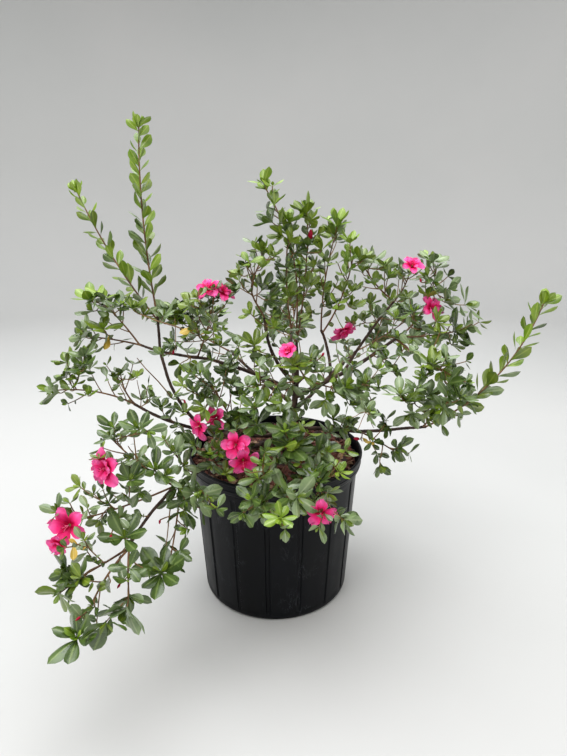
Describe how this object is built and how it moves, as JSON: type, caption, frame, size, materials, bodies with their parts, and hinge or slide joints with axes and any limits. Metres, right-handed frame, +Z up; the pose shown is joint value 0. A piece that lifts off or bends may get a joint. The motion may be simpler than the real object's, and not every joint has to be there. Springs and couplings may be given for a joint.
{
  "type": "potted azalea shrub",
  "caption": "Open, spreading azalea shrub with pink flowers, growing from bark mulch in a black nursery pot.",
  "frame": {"origin": "centre of the pot's flat underside, on the ground", "axes": "+Z up along the pot's axis; +Y away from the side it was pictured from; +X to the right as seen from there"},
  "size_m": [0.8002, 0.6654, 0.7413],
  "materials": {
    "pot_plastic": "black blow-moulded polyethylene, dull with light scuffs",
    "bark_mulch": "rough shredded pine bark, red-brown",
    "wood": "dark brown bark on the old stems, tan on the young ones",
    "foliage": "small leathery green leaves, lime at the tips, with hot pink flowers"
  },
  "bodies": {
    "root": {"pot": "pot_plastic", "mulch": "bark_mulch", "trunk": "wood", "leftBough": "wood", "leftReach": "wood", "lowLeftBough": "wood", "tallLeftBough": "wood", "frontLeftBough": "wood", "dropBough": "wood", "topLeftBough": "wood", "rightBough": "wood", "topRightBough": "wood", "rightThinBough": "wood", "lowRightBough": "wood", "lowRightReach": "wood", "frontBough": "wood", "frontPinkBough": "wood", "heartBough": "wood", "backLeftBough": "wood", "backBough": "wood", "backRightBough": "wood", "tallShoot": "foliage", "leanShoot": "foliage", "upperLeft": "foliage", "outerLeft": "foliage", "pinkLeft": "foliage", "farLeft": "foliage", "farLeftUp": "foliage", "budLeft": "foliage", "lowPink": "foliage", "dropTip": "foliage", "dropOuter": "foliage", "dropWhorl": "foliage", "dropInner": "foliage", "frontPink": "foliage", "centreLeft": "foliage", "topShoot": "foliage", "topRightShoot": "foliage", "midShoot": "foliage", "crownRight": "foliage", "rightLime": "foliage", "crownLeft": "foliage", "heartPink": "foliage", "heartRight": "foliage", "heartLeft": "foliage", "rightTop": "foliage", "rightPink": "foliage", "rightUpper": "foliage", "rightCluster": "foliage", "rightMid": "foliage", "rightTip": "foliage", "rightLow": "foliage", "rightDrop": "foliage", "frontWhorl": "foliage", "frontRim": "foliage", "frontRimPink": "foliage", "backLeft": "foliage", "back": "foliage", "backHigh": "foliage", "backRight": "foliage"}
  },
  "joints": []
}
